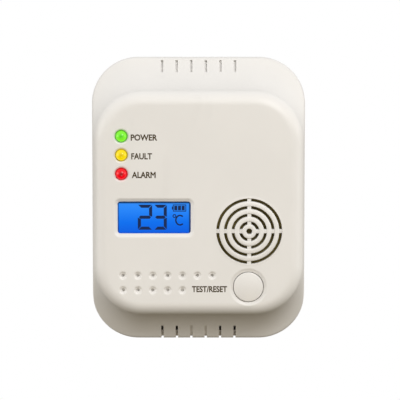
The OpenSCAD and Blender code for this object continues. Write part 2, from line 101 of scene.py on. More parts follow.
def outlineRun(halfX, halfY, cornerSteps, xStops=(), yStops=()):
    # Spine of a rounded rectangle and the direction out of it, anticlockwise: a quarter turn about each corner of the
    # spine, then the stops along the side that follows. With no half sizes it is a circle.
    spine, outward = [], []
    for k, (sx, sy) in enumerate([(1, 1), (-1, 1), (-1, -1), (1, -1)]):
        straight = (halfX if k % 2 == 0 else halfY) > 0
        turn = np.radians(90 * k + np.linspace(0, 90, cornerSteps + 1, endpoint=straight))
        outward.append(np.stack([np.cos(turn), np.sin(turn)], 1))
        spine.append(np.tile([sx * halfX, sy * halfY], (len(turn), 1)))
        stops = np.sort(np.asarray(yStops if k % 2 else xStops, float))
        stops = stops[::-1] if k < 2 else stops
        if len(stops):
            side = np.radians(90 * (k + 1))
            outward.append(np.tile([np.cos(side), np.sin(side)], (len(stops), 1)))
            fixed = np.full(len(stops), sx * halfX if k % 2 else sy * halfY)
            spine.append(np.stack([fixed, stops] if k % 2 else [stops, fixed], 1))
    return np.concatenate(spine), np.concatenate(outward).round(12)


def carried(surface, centre, half, profile, cornerSteps=16, close=False, lift=None):
    # Profile of (out, depth) pairs carried round a rounded rectangle about centre: point = centre + spine + out * outward,
    # its depth changed by lift where the piece follows a curved face
    spine, outward = outlineRun(*half, cornerSteps)
    out, depth = np.asarray(profile, float).T
    place = np.asarray(centre) + spine + outward * out[:, None, None]
    depth = depth[:, None] + (lift(place, depth[:, None]) if lift else 0)
    index = surface.grid(place[..., 0], place[..., 1], depth)
    surface.skin(np.concatenate([index, index[:1]]) if close else index)
    return index


def turned(surface, centre, profile, steps=24):
    # Profile turned about a line out of the panel, closed by a flat face at each end
    index = carried(surface, centre, (0, 0), profile, steps)
    surface.fill(index[0])
    surface.fill(index[-1])
    return index


def arcProfile(centreOut, centreDepth, radius, start, end, steps):
    # Points (out, depth) of an arc: centre + radius * (sin t, cos t), t in degrees from the direction out of the wall
    t = np.radians(np.linspace(start, end, steps))
    return np.stack([centreOut + radius * np.sin(t), centreDepth + radius * np.cos(t)], 1)


def edgeConvexity(mesh):
    # How sharply the surface bends outwards at each vertex: turn between two faces over the distance between their middles
    count = len(mesh.polygons)
    normal, middle = np.empty(count * 3), np.empty(count * 3)
    mesh.polygons.foreach_get("normal", normal)
    mesh.polygons.foreach_get("center", middle)
    normal, middle = normal.reshape(-1, 3), middle.reshape(-1, 3)
    starts, totals = np.empty(count, int), np.empty(count, int)
    mesh.polygons.foreach_get("loop_start", starts)
    mesh.polygons.foreach_get("loop_total", totals)
    edge = np.empty(len(mesh.loops), int)
    mesh.loops.foreach_get("edge_index", edge)
    face = np.repeat(np.arange(count), totals)
    order = np.argsort(edge, kind="stable")
    edge, face = edge[order], face[order]
    pair = np.nonzero(edge[1:] == edge[:-1])[0]
    one, two, shared = face[pair], face[pair + 1], edge[pair]
    across = middle[two] - middle[one]
    gap = np.linalg.norm(across, axis=1) + 1e-9
    turn = np.arccos(np.clip((normal[one] * normal[two]).sum(1), -1, 1))
    outwards = ((normal[two] - normal[one]) * across).sum(1) > 0
    bend = np.clip(np.where(outwards, turn / gap, 0) * 0.0006, 0, 1)
    ends = np.empty(len(mesh.edges) * 2, int)
    mesh.edges.foreach_get("vertices", ends)
    ends = ends.reshape(-1, 2)[shared]
    wear = np.zeros(len(mesh.vertices))
    np.maximum.at(wear, ends[:, 0], bend)
    np.maximum.at(wear, ends[:, 1], bend)
    mesh.attributes.new("wear", "FLOAT", "POINT").data.foreach_set("value", wear.astype(np.float32))


def makePiece(name, surface, body, finish, stands=(), sharp=34):
    # Mesh of a surface, its seams joined and its faces turned outwards, riding a body in place of the nodes it stands for
    mesh = bpy.data.meshes.new(name)
    mesh.from_pydata(np.concatenate(surface.places).tolist(), [], surface.faces)
    mesh.validate()
    work = bmesh.new()
    work.from_mesh(mesh)
    bmesh.ops.delete(work, geom=[v for v in work.verts if not v.link_faces], context="VERTS")
    bmesh.ops.remove_doubles(work, verts=work.verts, dist=1e-7)
    bmesh.ops.dissolve_degenerate(work, edges=work.edges, dist=1e-8)
    bmesh.ops.recalc_face_normals(work, faces=work.faces)
    work.to_mesh(mesh)
    work.free()
    mesh.polygons.foreach_set("use_smooth", np.ones(len(mesh.polygons), bool))
    mesh.set_sharp_from_angle(angle=math.radians(sharp))
    edgeConvexity(mesh)
    mesh.materials.append(finish)
    piece = bpy.data.objects.new(name, mesh)
    bpy.context.scene.collection.objects.link(piece)
    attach(piece, body)
    if stands:
        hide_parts(*stands)
    return piece


class Wire:
    # One socket of a material; arithmetic on it adds Math nodes

    def __init__(self, finish, socket):
        self.finish, self.socket = finish, socket

    def math(self, operation, *values):
        sockets = dict(enumerate(values))
        return self.finish.node("ShaderNodeMath", {"operation": operation}, sockets)

    def __add__(self, other):
        return self.math("ADD", self, other)

    def __sub__(self, other):
        return self.math("SUBTRACT", self, other)

    def __rsub__(self, other):
        return self.math("SUBTRACT", other, self)

    def __mul__(self, other):
        return self.math("MULTIPLY", self, other)

    def __truediv__(self, other):
        return self.math("DIVIDE", self, other)

    def __rtruediv__(self, other):
        return self.math("DIVIDE", other, self)

    def __pow__(self, other):
        return self.math("POWER", self, other)

    def __gt__(self, other):
        return self.math("GREATER_THAN", self, other)

    def __lt__(self, other):
        return self.math("LESS_THAN", self, other)

    def __abs__(self):
        return self.math("ABSOLUTE", self)

    __radd__ = __add__
    __rmul__ = __mul__

    def sine(self):
        return self.math("SINE", self)

    def larger(self, other):
        return self.math("MAXIMUM", self, other)

    def step(self, low, high):
        # 0 below low, 1 above high, smooth between
        return self.finish.node("ShaderNodeMapRange", {"interpolation_type": "SMOOTHSTEP"},
                                {"Value": self, "From Min": low, "From Max": high})


class Finish:
    # A material under construction

    def __init__(self, name, tree=None):
        if tree is None:
            self.material = bpy.data.materials.new(name)
            self.material.use_nodes = True
            tree = self.material.node_tree
        self.tree = tree
        self.tree.nodes.clear()

    def node(self, kind, settings=None, sockets=None, output=0):
        # Adds a node: its settings first, then the values or links of its sockets
        made = self.tree.nodes.new(kind)
        for key, value in (settings or {}).items():
            if key == "stops":
                ramp = made.color_ramp
                while len(ramp.elements) < len(value):
                    ramp.elements.new(0.5)
                for element, (position, colour) in zip(ramp.elements, value):
                    element.position, element.color = position, (*colour, 1)
            else:
                setattr(made, key, value)
        for key, value in (sockets or {}).items():
            if isinstance(value, Wire):
                self.tree.links.new(value.socket, made.inputs[key])
            elif value is not None:
                fixed = made.inputs[key]
                fixed.default_value = (*value, 1) if fixed.type == "RGBA" and len(value) == 3 else value
        return Wire(self, made.outputs[output]) if made.outputs else made

    def place(self):
        return self.node("ShaderNodeTexCoord", output="Object")

    def axes(self):
        split = self.node("ShaderNodeSeparateXYZ", None, {0: self.place()})
        return [Wire(self, split.socket.node.outputs[i]) for i in range(3)]

    def noise(self, scale, detail=2.0, rough=0.5, stretch=(1, 1, 1)):
        where = self.node("ShaderNodeMapping", None, {"Vector": self.place(), "Scale": stretch})
        return self.node("ShaderNodeTexNoise", None, {"Vector": where, "Scale": scale, "Detail": detail, "Roughness": rough})

    def cells(self, scale, feature="F1", stretch=(1, 1, 1)):
        where = self.node("ShaderNodeMapping", None, {"Vector": self.place(), "Scale": stretch})
        return self.node("ShaderNodeTexVoronoi", {"feature": feature}, {"Vector": where, "Scale": scale})

    def mix(self, share, first, second):
        # Colour blend by share
        return self.node("ShaderNodeMix", {"data_type": "RGBA"}, {0: share, 6: first, 7: second}, output=2)

    def wear(self):
        return self.node("ShaderNodeAttribute", {"attribute_name": "wear"}, output="Fac")

    def bump(self, height, strength, distance):
        return self.node("ShaderNodeBump", None, {"Height": height, "Strength": strength, "Distance": distance})

    def shade(self, **sockets):
        # Principled shader with these sockets, written without spaces, and the output
        names = {s.replace(" ", ""): s for s in [
            "Base Color", "Metallic", "Roughness", "Normal", "IOR", "Specular IOR Level", "Coat Weight", "Coat Roughness",
            "Subsurface Weight", "Subsurface Radius", "Subsurface Scale", "Emission Color", "Emission Strength",
            "Transmission Weight", "Sheen Weight", "Alpha"]}
        shader = self.node("ShaderNodeBsdfPrincipled", None, {names[k]: v for k, v in sockets.items()})
        self.node("ShaderNodeOutputMaterial", None, {"Surface": shader})
        return self.material


def tone(colour, factor):
    return tuple(min(1.0, c * factor) for c in colour)


def mouldedPlastic(name, look):
    # Moulded plastic: slow colour drift, fine spark texture, faint handling marks, sharply bent convex edges a little
    # lighter and glossier
    f = Finish(name)
    drift = f.noise(look["driftScale"], 3, 0.55)
    marks = f.noise(look["markScale"], 6, 0.62, (1, 1, 0.35)).step(0.58, 0.74)
    grain = f.noise(look["grainScale"], 3, 0.6)
    edgeLift = f.wear() if look["edgeLift"] else None
    colour = f.mix(drift.step(0.3, 0.7), tone(look["colour"], 1 - look["drift"]), tone(look["colour"], 1 + look["drift"]))
    colour = f.mix(marks * look["markShow"], colour, tone(look["colour"], 0.9))
    rough = drift * 0.1 + look["rough"] - 0.05 + grain * 0.06 - 0.03 - marks * 0.05
    # sharply bent convex edges: colour a little lighter, roughness lower
    if edgeLift:
        colour = f.mix(edgeLift * look["edgeLift"], colour, tone(look["colour"], 1.06))
        rough = rough - edgeLift * 0.1
    return f.shade(BaseColor=colour, Roughness=rough, Normal=f.bump(grain, look["grainBump"], 0.00004),
                   IOR=1.5, SpecularIORLevel=look["gloss"])


creamLook = {
    "colour": (0.737, 0.724, 0.705),
    "drift": 0.012,        # share the colour drifts up and down
    "driftScale": 34,
    "rough": 0.42,
    "gloss": 0.45,
    "grainScale": 2600,
    "grainBump": 0.22,
    "markScale": 90,
    "markShow": 0.18,
    "edgeLift": 0.35,
}
coverFinish = mouldedPlastic("creamCover", creamLook)
buttonFinish = mouldedPlastic("creamButton", {**creamLook, "rough": 0.36, "grainBump": 0.12, "markShow": 0.22})
caseFinish = mouldedPlastic("creamCase", {**creamLook, "colour": (0.718, 0.703, 0.680), "rough": 0.48,
                                          "grainBump": 0.4, "edgeLift": 0})
print("plastic finishes made")


def lensFinish(name, look):
    # Tinted lens, lit from inside: painted shadow ring round its edge where the hole shades it, deeper tint over the
    # chip, moulding ripples in the tip
    f = Finish(name)
    x, y, z = f.axes()
    ax, az = look["centre"]
    off = ((x - ax) ** 2 + (z - az) ** 2) ** 0.5 * 1000
    core = 1 - off.step(0.0, look["coreRadius"])
    ripple = f.noise(900, 3, 0.5)
    glow = f.mix(core * look["coreShow"], look["glow"], look["core"])
    # painted shadow: the glow is darkened to the rim colour in a ring round the edge of the lens
    rim = off.step(2.0, 2.5)
    glow = f.mix(rim * 0.8, glow, look["rim"])
    return f.shade(BaseColor=f.mix(ripple * 0.3, look["tint"], tone(look["tint"], 0.7)), Roughness=ripple * 0.08 + 0.1,
                   EmissionColor=glow, EmissionStrength=look["power"], Normal=f.bump(ripple, 0.15, 0.00005),
                   IOR=1.5, SpecularIORLevel=0.35, CoatWeight=0.12)


lamps = {  # across and up of each lamp, and the colours of its lens; rim is the colour of the painted shadow ring round its edge
    "green": {"at": (-32.3, 28.5), "tint": (0.03, 0.14, 0.01),
              "glow": (0.20, 0.80, 0.02), "core": (0.06, 0.46, 0.01), "rim": (0.015, 0.12, 0.005)},
    "yellow": {"at": (-32.3, 20.6), "tint": (0.20, 0.14, 0.0),
               "glow": (0.80, 0.62, 0.0), "core": (0.52, 0.37, 0.0), "rim": (0.16, 0.11, 0.0)},
    "red": {"at": (-32.3, 12.7), "tint": (0.10, 0.0, 0.002),
            "glow": (0.86, 0.0, 0.008), "core": (0.20, 0.0, 0.003), "rim": (0.26, 0.0, 0.004)},
}
lampLook = {"coreRadius": 1.5, "coreShow": 1.0, "power": 1.0}


housing = {  # outline and wall of the front cover, mm
    "baseSpine": (26.0, 41.0), "baseRadius": 20.0, "draft": 0.068,  # sides lean in by the draft towards the front
    "split": 8.0, "front": 38.0, "wall": 2.2,
    "domeSpine": (23.27, 26.5), "domeRadius": 21.0, "domeFillet": 6.0,
    "coveRadius": 27.0, "coveOut": 26.5, "coveUp": 35.66,           # axis of the hollow shoulder
    "edgeRound": 1.0,
    "ventStart": 28.2, "ventLow": 10.5, "ventWidth": 1.0, "ventPitch": 6.25, "grooveDepth": 1.1,
}
display = {"at": (-18.6, -5.7), "size": (30.7, 13.5), "corner": 1.2, "bevel": 1.35, "bevelDepth": 0.8}
grille = {"at": (21.3, -11.4), "radius": 14.8, "crown": 1.2, "slots": [3.0, 6.2, 9.4, 12.6], "slotWidth": 1.2,
          "hole": 1.2, "barWidth": 1.66, "barDrop": 0.5, "landCrown": 0.14}
button = {"at": (21.0, -35.0), "radius": 6.2, "gap": 0.25, "rim": 37.9, "crown": 0.8, "dish": 1.5, "dishDepth": 0.6}
dimples = {"left": -31.7, "pitch": 6.25, "rows": [(-30.1, 7), (-36.3, 5)], "radius": 1.9, "depth": 0.68,
           "pinRadius": 0.7, "pin": 1.35}


def followFront(place, depth):
    # How far the quarter-round edge has dropped below the flat front at a place, for what is cut into the face
    over = np.maximum(np.abs(place) - housing["domeSpine"], 0)
    fillet = housing["domeFillet"]
    over = np.clip(np.hypot(over[..., 0], over[..., 1]) - housing["domeRadius"] + fillet, 0, fillet)
    drop = np.sqrt(fillet ** 2 - over ** 2) - fillet
    return np.where(depth > housing["front"] - 1.5, drop, 0)


def coverSkin(inset, edgeRound, spine, outward):
    # Rows of the cover from the flat front outwards: quarter-round edge, short side, hollow shoulder out to where it meets
    # the leaning base outline, rounded rim, side down to the split. Depth of the hollow = axis depth - sqrt(R^2 - reach^2).
    h = housing
    radius, bend, front = h["domeRadius"] - inset, h["domeFillet"] - inset, h["front"] - inset
    baseSpine = np.array(h["baseSpine"])

    def coveDepth(out):
        return h["coveUp"] - np.sqrt((h["coveRadius"] + inset) ** 2 - (h["domeRadius"] + h["coveOut"] - out) ** 2)

    def baseRadius(depth):
        return h["baseRadius"] - inset + (h["split"] - depth) * h["draft"]

    low, high = np.full(len(spine), radius), np.full(len(spine), 44.0)
    for _ in range(42):  # halves the range in which the hollow meets the outline
        half = (low + high) / 2
        q = np.abs(spine + outward * half[:, None]) - baseSpine
        gap = np.hypot(*np.maximum(q, 0).T) + np.minimum(q.max(1), 0) - baseRadius(coveDepth(half))
        low, high = np.where(gap < 0, half, low), np.where(gap < 0, high, half)
    reach = low
    soft = np.minimum(edgeRound, 0.45 * (reach - radius))
    corner = spine + outward * reach[:, None]
    cornerDepth = coveDepth(reach)
    near = np.clip(corner, -baseSpine, baseSpine)
    away = (corner - near) / np.linalg.norm(corner - near, axis=1)[:, None]

    rows, depths = [], []

    def addRays(out, depth):
        out = np.broadcast_to(out, (len(out), len(spine)))
        rows.append(spine + outward * out[..., None])
        depths.append(np.broadcast_to(depth, out.shape))

    def addWall(depth):
        rows.append(near + away * baseRadius(depth)[..., None])
        depths.append(depth)

    turn = np.linspace(0, math.pi / 2, 17)[:, None]
    addRays(np.array([[radius - bend - 0.5]]), front)
    addRays(radius - bend + bend * np.sin(turn), front - bend + bend * np.cos(turn))
    foot = float(coveDepth(np.array(radius)))
    addRays(np.full((2, 1), radius), np.array([[(front - bend + foot) / 2], [foot]]))
    top = int(np.nonzero(outward[:, 1] == 1)[0][3])
    share = (h["ventStart"] - radius) / (reach[top] - soft[top] - radius)
    shares = np.concatenate([share * np.linspace(0, 1, 17)[1:] ** 1.25,
                             share + (1 - share) * np.linspace(0, 1, 9)[1:]])[:, None]
    out = radius + shares * (reach - soft - radius)
    ventRow = 1 + 17 + 2 + 15
    addRays(out, coveDepth(out))
    topRow = ventRow + 8
    u = np.linspace(0, 1, 8)[1:, None, None]
    start, end = rows[-1][-1], near + away * baseRadius(cornerDepth - soft)[:, None]
    rows.append((1 - u) ** 2 * start + 2 * u * (1 - u) * corner + u ** 2 * end)
    u = u[..., 0]
    depths.append((1 - u) ** 2 * depths[-1][-1] + 2 * u * (1 - u) * cornerDepth + u ** 2 * (cornerDepth - soft))
    wallTop = cornerDepth - soft
    addWall(wallTop + (h["ventLow"] - wallTop) * np.linspace(0, 1, 5)[1:, None])
    addWall(np.full((3, len(spine)), h["ventLow"]) + (h["split"] - h["ventLow"]) * np.linspace(0, 1, 4)[1:, None])
    place, depth = np.concatenate(rows), np.concatenate(depths)
    return (place[..., 0], place[..., 1], depth), ventRow, topRow


def ventColumns(spine, outward):
    # First and last column of each vent, whether it is in the lower shoulder, and whether it goes through the wall
    found = []
    for side in (1, -1):
        for k in range(6):
            edges = (k - 2.5) * housing["ventPitch"] + np.array([-0.5, 0.5]) * housing["ventWidth"]
            here = [int(np.nonzero((outward[:, 1] == side) & np.isclose(spine[:, 0], e))[0][0]) for e in edges]
            found.append((min(here), max(here), side < 0, side < 0 and k not in (2, 3)))
    return found


def addVents(surface, outer, inner, middle, spine, outward, firstRow, topRow):
    # Cuts the vents: the cells of each are left out, and walls follow its border down through the middle of the wall,
    # to the inner skin or to a floor. The lower ones are open at the split. Gives the cells that stay in each skin.
    lastRow = len(outer) - 1
    keepOuter = np.ones((lastRow, outer.shape[1]), bool)
    keepInner, keepRim = keepOuter.copy(), np.ones((2, outer.shape[1]), bool)
    for first, last, low, through in ventColumns(spine, outward):
        end = lastRow if low else topRow
        rows = np.concatenate([np.arange(end, firstRow, -1), np.full(last - first, firstRow), np.arange(firstRow, end + 1)])
        columns = np.concatenate([np.full(end - firstRow, first), np.arange(first, last), np.full(end - firstRow + 1, last)])
        if not low:
            rows = np.append(rows, np.full(last - first - 1, end))
            columns = np.append(columns, np.arange(last - 1, first, -1))
        walls = [outer[rows, columns], surface.grid(*(part[rows, columns] for part in middle))]
        keepOuter[firstRow:end, first:last] = False
        if through:
            keepInner[firstRow:end, first:last] = False
            walls.append(inner[rows, columns])
            keepRim[:, first:last] = False
        else:
            floor = surface.grid(*(part[firstRow:end + 1, first:last + 1] for part in middle))
            surface.skin(floor, np.broadcast_to(np.arange(floor.shape[1]) < last - first, (len(floor) - 1, floor.shape[1])))
            keepRim[0, first:last] = not low
        walls = np.stack(walls)
        surface.skin(walls, np.broadcast_to(np.arange(len(rows)) < len(rows) - low, (len(walls) - 1, len(rows))))
    surface.skin(np.stack([outer[-1], surface.grid(*(part[-1] for part in middle)), inner[-1]]), keepRim)  # rim at the split
    return keepOuter, keepInner


def domeTop(out):
    # Height of the grille's low dome: part of a sphere through its rim and crown
    r, c = grille["radius"], grille["crown"]
    ball = (r * r + c * c) / (2 * c)
    return housing["front"] + c - ball + np.sqrt(ball ** 2 - np.asarray(out) ** 2)


def landProfile(inner, outer, back):
    # Section of one land of the grille: inner side, crowned top with rounded edges, outer side
    edge = 0.34
    out = inner + (outer - inner) * (0.5 - 0.5 * np.cos(np.linspace(0, math.pi, 25)))
    near = np.clip(np.minimum(out - inner, outer - out) / edge, 0, 1)
    drop = edge * (1 - np.sqrt(1 - (1 - near) ** 2))
    middle = (inner + outer) / 2
    depth = domeTop(out) - drop - grille["landCrown"] * ((out - middle) / (outer - middle)) ** 2
    return np.concatenate([[[inner, back]], np.stack([out, depth], 1), [[outer, back]]])


def addBars(surface, back):
    # The bars that cross each slot: a section with rounded top edges carried outwards under the dome
    half = grille["barWidth"] / 2
    side = half * np.sin(np.linspace(-math.pi / 2, math.pi / 2, 13))
    near = np.clip((half - np.abs(side)) / 0.22, 0, 1)
    drop = 0.22 * (1 - np.sqrt(1 - (1 - near) ** 2))
    side = np.concatenate([side, [half, -half]])
    for inner in grille["slots"]:
        along = np.linspace(inner - 0.25, inner + grille["slotWidth"] + 0.25, 6)[:, None]
        top = domeTop(along) - grille["barDrop"] - drop
        depth = np.concatenate([top, np.full((6, 2), back)], 1)
        for turn in range(4):
            c, s = [(1, 0), (0, 1), (-1, 0), (0, -1)][turn]
            index = surface.grid(grille["at"][0] + c * along - s * side, grille["at"][1] + s * along + c * side, depth)
            surface.skin(index)
            surface.cap(index[0])
            surface.cap(index[-1])


def buildCover():
    h, surface = housing, Surface()
    edges = [(k - 2.5) * h["ventPitch"] + s * h["ventWidth"] / 2 for k in range(6) for s in (-1, 0, 1)]
    between = [(k - 2.5) * h["ventPitch"] + s * h["ventPitch"] for k in range(5) for s in (0.3, 0.5, 0.7)]
    xStops = sorted(edges + between + [-21, -19, -17.2, 17.2, 19, 21])
    spine, outward = outlineRun(*h["domeSpine"], 44, xStops, np.linspace(-24, 24, 17))
    places, ventRow, topRow = coverSkin(0.0, h["edgeRound"], spine, outward)
    outer = surface.grid(*places)
    inner = surface.grid(*coverSkin(h["wall"], 0.12, spine, outward)[0])
    middle = coverSkin(h["grooveDepth"], 0.4, spine, outward)[0]
    keepOuter, keepInner = addVents(surface, outer, inner, middle, spine, outward, ventRow, topRow)
    surface.skin(outer[9:], keepOuter[9:])
    surface.skin(inner[1:], keepInner[1:])

    front, back = h["front"], h["front"] - h["wall"]
    lips = []
    lampLip = [(3.75, front), (3.4, front), (3.24, front - 0.03), (3.1, front - 0.11), (2.8, front - 0.38),
               (2.69, front - 0.5), (2.65, front - 0.64), (2.65, back)]
    for lamp in lamps.values():
        lips.append(carried(surface, lamp["at"], (0, 0), lampLip, 16))
    r, b, d = display["corner"], display["bevel"], display["bevelDepth"]
    halfSize = (display["size"][0] / 2 - r, display["size"][1] / 2 - r)
    displayLip = [(r + b + 0.7, front), (r + b + 0.2, front), (r + b + 0.04, front - 0.03), (r + b - 0.12, front - 0.12),
                  (r + 0.2, front - d + 0.06), (r + 0.07, front - d - 0.02), (r, front - d - 0.16), (r, back)]
    lips.append(carried(surface, display["at"], halfSize, displayLip, 10))
    g = grille["slots"][-1] + grille["slotWidth"]
    grilleLip = [(15.24, front), (15.08, front), (14.92, front + 0.004), (14.68, front + 0.022), (14.4, front + 0.06),
                 (g + 0.32, float(domeTop(g + 0.32))), (g + 0.2, float(domeTop(g + 0.2)) - 0.02), (g + 0.08,
                                                                                                   float(domeTop(g)) - 0.09),
                 (g + 0.015, float(domeTop(g)) - 0.2), (g, float(domeTop(g)) - 0.34), (g, back)]
    lips.append(carried(surface, grille["at"], (0, 0), grilleLip, 32))
    hole, dish = button["radius"] + button["gap"], button["dish"]
    bowl = [(hole + dish * s, front - button["dishDepth"] * (1 - s ** 1.6) ** 1.2) for s in np.linspace(0.97, 0.06, 9)]
    buttonLip = [(hole + dish + 0.28, front), (hole + dish + 0.14, front), (hole + dish + 0.04, front - 0.004), *bowl,
                 (hole + 0.02, front - button["dishDepth"] - 0.08), (hole, front - button["dishDepth"] - 0.2), (hole, back)]
    lips.append(carried(surface, button["at"], (0, 0), buttonLip, 24, lift=followFront))
    pits = []
    fall = np.linspace(0, 1, 9)
    sink = dimples["depth"] * (fall ** 2 * (3 - 2 * fall))
    pitProfile = [(dimples["radius"] + 0.6, front), (dimples["radius"] + 0.15, front),
                  *zip(dimples["radius"] - (dimples["radius"] - dimples["pinRadius"]) * fall, front - sink),
                  (dimples["pinRadius"] - 0.05, front - dimples["depth"] - 0.1),
                  (dimples["pinRadius"] - 0.08, front - dimples["depth"] - dimples["pin"])]
    for up, count in dimples["rows"]:
        for k in range(count):
            pit = carried(surface, (dimples["left"] + k * dimples["pitch"], up), (0, 0), pitProfile, 8)
            surface.fill(pit[-1])
            pits.append(pit)
    free = outer[:9].ravel()
    away = np.concatenate(surface.places)[free][:, [0, 2]] * 1000 + [0, mountUp] - button["at"]
    free = free[np.hypot(*away.T) > hole + dish + 0.4]
    surface.fill(outer[9], *[lip[0] for lip in lips], *[pit[0] for pit in pits], free=free)
    surface.fill(inner[1], *[lip[-1] for lip in lips])

    ends = [grille["hole"], *[s + o for s in grille["slots"] for o in (0, grille["slotWidth"])]]
    for low, high in zip(ends[::2], ends[1::2]):
        carried(surface, grille["at"], (0, 0), landProfile(low, high, back), 28, close=True)
    addBars(surface, back)
    for across in (35.5, -35.5):  # screw bosses behind the corners
        for up in (39, -39):
            turned(surface, (across, up), [(1.25, 24), (1.25, 10.3), (1.5, 10), (3.4, 10), (3.4, 30.4)], 6)
    carried(surface, button["at"], (0, 0), [(7.4, 31), (8.2, 31), (8.2, back + 0.05), (7.4, back + 0.05)], 16, close=True)
    return surface


makePiece("frontShell", buildCover(), "detector", coverFinish, ["front_cover"])
print("front cover made")


def buildButton():
    surface = Surface()
    r, rim, crown = button["radius"], button["rim"], button["crown"]
    ball = (r * r + crown * crown) / (2 * crown)
    out = np.linspace(0.05, r - 0.42, 20)
    top = np.stack([out, rim + crown - ball + np.sqrt(ball ** 2 - out ** 2)], 1)
    edge = arcProfile(r - 0.42, top[-1, 1] - 0.42, 0.42, 16, 90, 7)
    rest = [(r, 36.6), (r, 35.83), (r + 0.05, 35.78), (7.3, 35.78), (7.3, 34.4), (5.0, 34.4),
            (5.0, 36.7), (1.6, 36.7), (1.6, 27.7), (1.45, 27.6), (0.05, 27.6)]
    turned(surface, button["at"], np.concatenate([top, edge, rest]), 24)
    return surface


makePiece("buttonCap", buildButton(), "button", buttonFinish, ["test_button"])


def buildLamp(at):
    surface = Surface()
    tip = arcProfile(0, 36.7, 2.5, 1.2, 90, 22)
    rest = [(2.5, 34), (2.5, 31.7), (2.56, 31.6), (2.85, 31.6), (2.9, 31.52), (2.9, 30.7), (2.82, 30.6), (0.05, 30.6)]
    turned(surface, at, np.concatenate([tip, rest]), 14)
    return surface


for colour, lamp in lamps.items():
    centre = toRow(*lamp["at"], 0)
    finish = lensFinish(colour + "Lens", {**lamp, **lampLook, "centre": (float(centre[0]), float(centre[2]))})
    makePiece(colour + "Lamp", buildLamp(lamp["at"]), "detector", finish, ["led_" + colour])
print("button and lamps made")


def prism(surface, outline, low, high):
    # Flat outline given thickness between two depths
    outline = np.asarray(outline, float)
    index = surface.grid(outline[None, :, 0], outline[None, :, 1], np.array([[high], [low]]))
    surface.skin(index)
    surface.fill(index[0])
    surface.fill(index[1])


def displayFinish(look):
    # Lit panel: brighter towards the top, darker where the frame shades it, faint clouding and dust
    f = Finish("litDisplay")
    x, y, z = f.axes()
    cx, cz = display["at"][0] * 0.001, (display["at"][1] - mountUp) * 0.001
    across, up = (x - cx) * 1000, (z - cz) * 1000
    halfW, halfH = display["size"][0] / 2, display["size"][1] / 2
    lift = (up / (2 * halfH) + 0.5)
    cloud = f.noise(45, 2, 0.5) * 0.16 - 0.08
    glow = f.node("ShaderNodeValToRGB", {"stops": look["ramp"]}, {0: lift + cloud})
    shadeTop = up.step(halfH - 1.15, halfH - 0.6) * 0.94
    shadeRight = across.step(halfW - 1.0, halfW - 0.45) * 0.9
    shadeLow = (0 - up).step(halfH - 0.5, halfH + 0.1) * 0.4
    shadeLeft = (0 - across).step(halfW - 0.65, halfW - 0.25) * 0.8
    lit = (1 - shadeTop) * (1 - shadeRight) * (1 - shadeLow) * (1 - shadeLeft)
    glow = f.mix(lit, look["shade"], glow)
    dust = f.cells(700).step(0.02, 0.06)
    return f.shade(BaseColor=f.mix(dust, (0.05, 0.09, 0.16), look["glass"]), Roughness=f.noise(120, 4) * 0.1 + 0.12,
                   EmissionColor=glow, EmissionStrength=look["power"], IOR=1.45, SpecularIORLevel=0.12)


displayLook = {
    "ramp": [(0.0, (0.0, 0.100, 0.720)), (0.35, (0.0, 0.155, 0.830)), (0.75, (0.018, 0.235, 0.930)),
             (1.0, (0.030, 0.262, 0.930))],
    "shade": (0.006, 0.024, 0.060),
    "glass": (0.002, 0.008, 0.03),
    "power": 1.0,
}


def buildPanel():
    surface = Surface()
    profile = [(0.12, 35.6), (0.32, 35.6), (0.4, 35.52), (0.4, 33.08), (0.32, 33.0)]
    index = carried(surface, display["at"], (18.1, 9.35), profile, 5)
    surface.fill(index[0])
    surface.fill(index[-1])
    return surface


makePiece("displayGlass", buildPanel(), "detector", displayFinish(displayLook), ["lcd_glass"])

inkLook = {"colour": (0.0015, 0.016, 0.085), "rough": 0.35}


def inkFinish(name, look):
    # Thin printed or liquid-crystal mark: uneven density and a soft edge sheen
    f = Finish(name)
    density = f.noise(1400, 4, 0.6)
    return f.shade(BaseColor=f.mix(density, tone(look["colour"], 0.8), tone(look["colour"], 1.25)),
                   Roughness=density * 0.15 + look["rough"], Normal=f.bump(density, 0.1, 0.00002), SpecularIORLevel=0.2)


segments = {"thick": 1.3, "gap": 0.16, "low": 35.58, "high": 35.64, "top": -0.42, "bottom": -10.98}


def digitSegments(left, right, names):
    # Mitred bars of a seven-part digit: each outline runs along the digit's edge and is cut at 45 degrees at its ends
    t, g = segments["thick"], segments["gap"]
    top, bottom = segments["top"], segments["bottom"]
    middle = (top + bottom) / 2
    parts = {
        "top": [(left + g, top), (right - g, top), (right - t - g, top - t), (left + t + g, top - t)],
        "bottom": [(left + t + g, bottom + t), (right - t - g, bottom + t), (right - g, bottom), (left + g, bottom)],
        "middle": [(left + g + 0.3, middle), (left + t / 2 + g + 0.3, middle + t / 2),
                   (right - t / 2 - g - 0.3, middle + t / 2),
                   (right - g - 0.3, middle), (right - t / 2 - g - 0.3, middle - t / 2), (left + t / 2 + g + 0.3,
                                                                                          middle - t / 2)],
        "upperRight": [(right, top - g), (right - t, top - t - g), (right - t, middle + t / 2 + g), (right, middle + g)],
        "lowerRight": [(right, middle - g), (right - t, middle - t / 2 - g), (right - t, bottom + t + g),
                       (right, bottom + g)],
        "lowerLeft": [(left, middle - g), (left, bottom + g), (left + t, bottom + t + g), (left + t, middle - t / 2 - g)],
    }
    return [parts[name] for name in names]


def boxOutline(left, right, low, high):
    return [(left, low), (right, low), (right, high), (left, high)]


def bandOutline(path, width):
    # Outline of a band of even width along an open path: the path pushed out to both sides along its normal
    path = np.asarray(path, float)
    along = np.gradient(path, axis=0)
    across = np.stack([-along[:, 1], along[:, 0]], 1) / np.linalg.norm(along, axis=1)[:, None] * width / 2
    return np.concatenate([path + across, (path - across)[::-1]])


